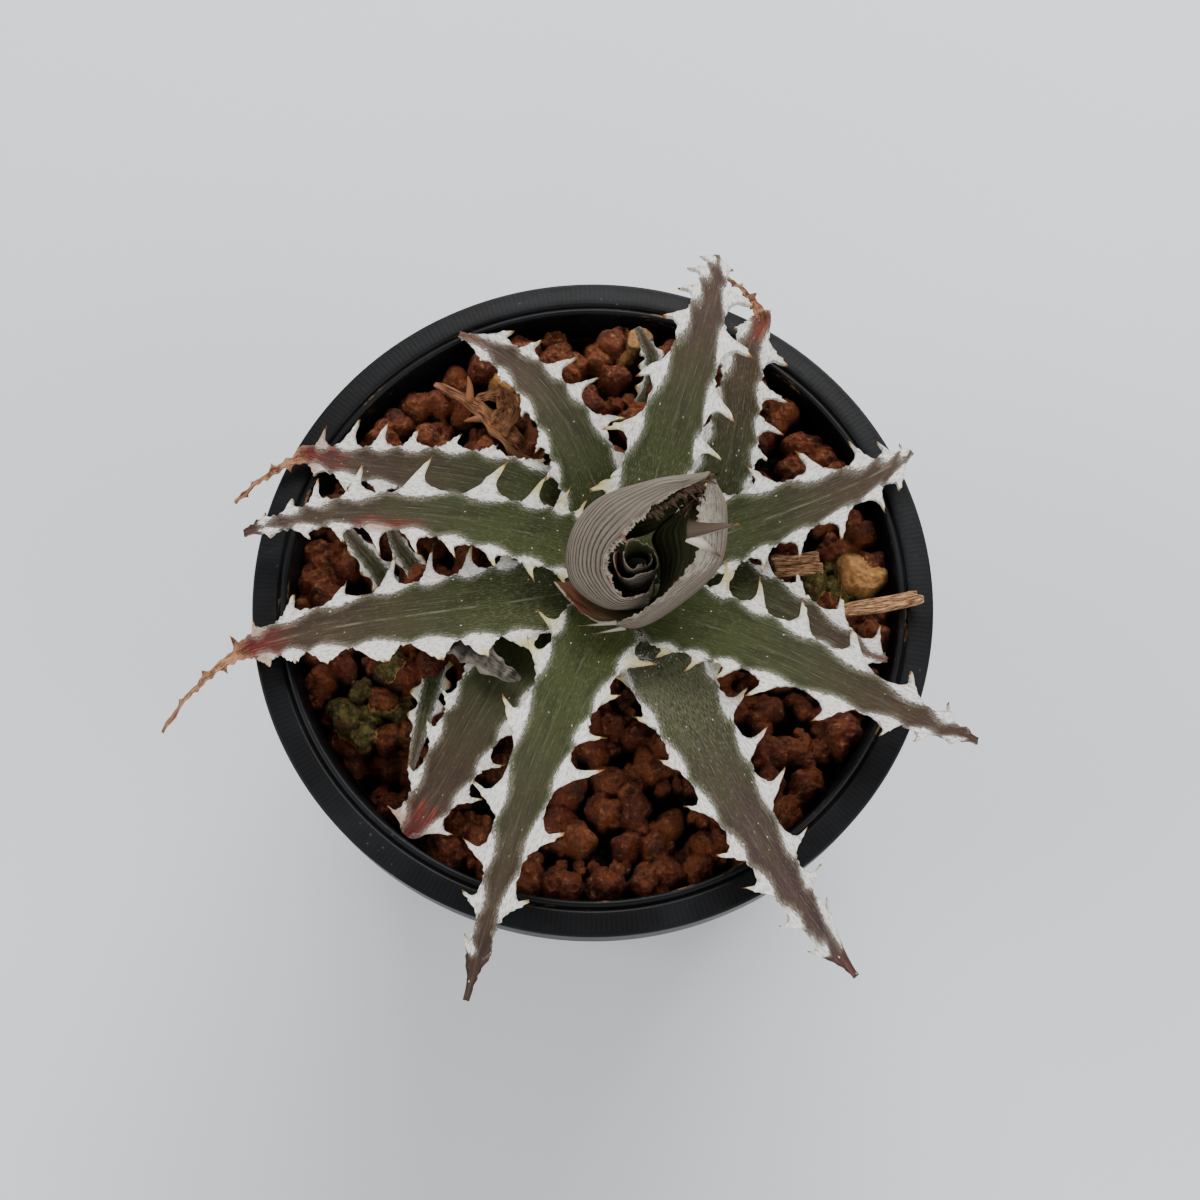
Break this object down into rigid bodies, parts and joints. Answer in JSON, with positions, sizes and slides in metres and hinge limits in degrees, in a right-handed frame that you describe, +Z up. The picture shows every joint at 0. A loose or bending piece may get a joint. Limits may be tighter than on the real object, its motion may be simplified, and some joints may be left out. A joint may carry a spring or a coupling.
{
  "type": "potted dyckia",
  "caption": "Dyckia bromeliad: a low rosette of stiff arching leaves edged with pale hooked teeth, round a rolled core, in clay grains in a round plastic pot.",
  "frame": {"origin": "middle of the pot's flat base", "axes": "+Z up out of the pot; the side that looks along +Y is the front, and the core leans towards +X"},
  "size_m": [0.1243, 0.1177, 0.1174],
  "materials": {
    "pot": "satin black with fine ribs on the rim",
    "soil": "rough baked clay grains",
    "leaf": "stiff succulent leaf, satin, with matt pale margins and teeth",
    "core": "young leaf, matt, pale grey with brown stripes",
    "dried": "dry plant matter, matt",
    "stem": "pale leafy stock, matt"
  },
  "bodies": {
    "root": {"leaf_front": "leaf", "leaf_front_right": "leaf", "leaf_right": "leaf", "leaf_right_lower": "leaf", "leaf_back_right": "leaf", "leaf_back_lower": "leaf", "leaf_back": "leaf", "leaf_back_left": "leaf", "leaf_left_lower": "leaf", "leaf_left_upper": "leaf", "leaf_left": "leaf", "leaf_front_left": "leaf", "pup_leaf_outer": "leaf", "pup_leaf_inner": "leaf", "leaf_back_small": "leaf", "leaf_left_narrow": "leaf", "core_hood": "core", "core_wrap": "core", "core_bud": "core", "dried_leaf": "dried", "dried_tip": "dried", "twig_inner": "dried", "twig_outer": "dried", "stem": "stem", "soil": "soil", "pot": "pot"}
  },
  "joints": []
}
